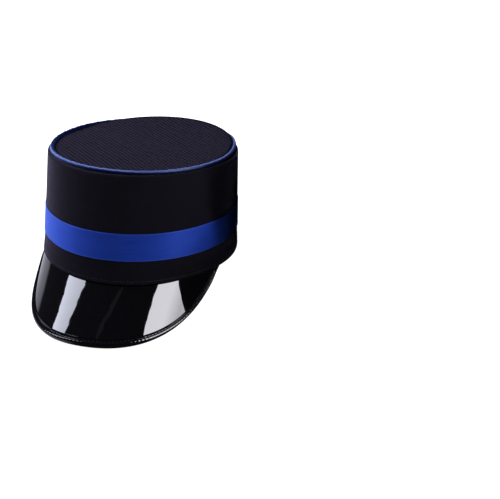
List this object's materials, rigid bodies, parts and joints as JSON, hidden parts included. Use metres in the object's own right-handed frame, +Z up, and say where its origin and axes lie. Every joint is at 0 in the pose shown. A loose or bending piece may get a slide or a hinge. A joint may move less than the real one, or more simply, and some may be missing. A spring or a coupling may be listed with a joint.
{
  "type": "peaked cap",
  "caption": "Peaked band cap: stiff cloth crown with a net top, a satin ribbon, piping round the top edge and a steep patent peak; worn on the head.",
  "frame": {"origin": "on the surface that the cap stands on, under the middle of its bounding box", "axes": "+Z up from the table, the peak toward -Y, the wearer's left toward +X"},
  "size_m": [0.1796, 0.2616, 0.1295],
  "materials": {
    "crown_cloth": "matt black twill",
    "netting": "coated black net",
    "piping_cloth": "royal-blue satin piping",
    "satin_ribbon": "royal-blue satin",
    "band_leather": "smooth black",
    "patent_leather": "patent, high gloss",
    "grained_leather": "grained, matt",
    "patent_binding": "patent, stitched"
  },
  "bodies": {
    "root": {"crown_wall": "crown_cloth", "crown_net": "netting", "top_piping": "piping_cloth", "ribbon": "satin_ribbon", "sweatband": "band_leather", "peak": "patent_leather", "peak_lining": "grained_leather", "peak_binding": "patent_binding"}
  },
  "joints": []
}
